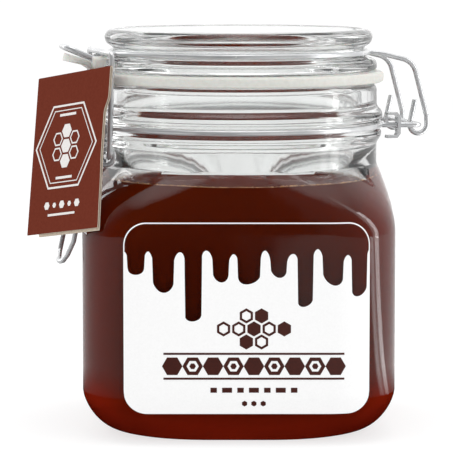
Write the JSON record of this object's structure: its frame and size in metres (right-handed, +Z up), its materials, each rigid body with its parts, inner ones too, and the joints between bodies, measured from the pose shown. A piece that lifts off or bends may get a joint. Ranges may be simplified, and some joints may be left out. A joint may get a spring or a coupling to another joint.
{
  "type": "clip-top jar of honey",
  "caption": "Square clip-top glass jar filled with dark honey, with a gasketed glass lid, wire bail and lever, front label and folded card tag.",
  "frame": {"origin": "on the jar's axis at the face it stands on", "axes": "+Z up, label face toward -Y, hinge near +X and clasp near -X on a line turned 13.5 degrees about +Z"},
  "size_m": [0.1431, 0.1098, 0.1413],
  "materials": {
    "clear_glass": "clear, smooth",
    "dark_honey": "dark red-brown, clear and glossy",
    "cream_rubber": "satin",
    "zinc_wire": "bright zinc plate",
    "label_film": "white print on film",
    "brown_card": "matt print, kraft inside"
  },
  "bodies": {
    "root": {"jar_glass": "clear_glass", "lid_glass": "clear_glass", "honey": "dark_honey", "gasket": "cream_rubber", "neck_band": "zinc_wire", "lid_wire": "zinc_wire", "hinge_clip_near": "zinc_wire", "hinge_clip_far": "zinc_wire", "bail": "zinc_wire", "lever": "zinc_wire", "label": "label_film", "tag": "brown_card"}
  },
  "joints": []
}
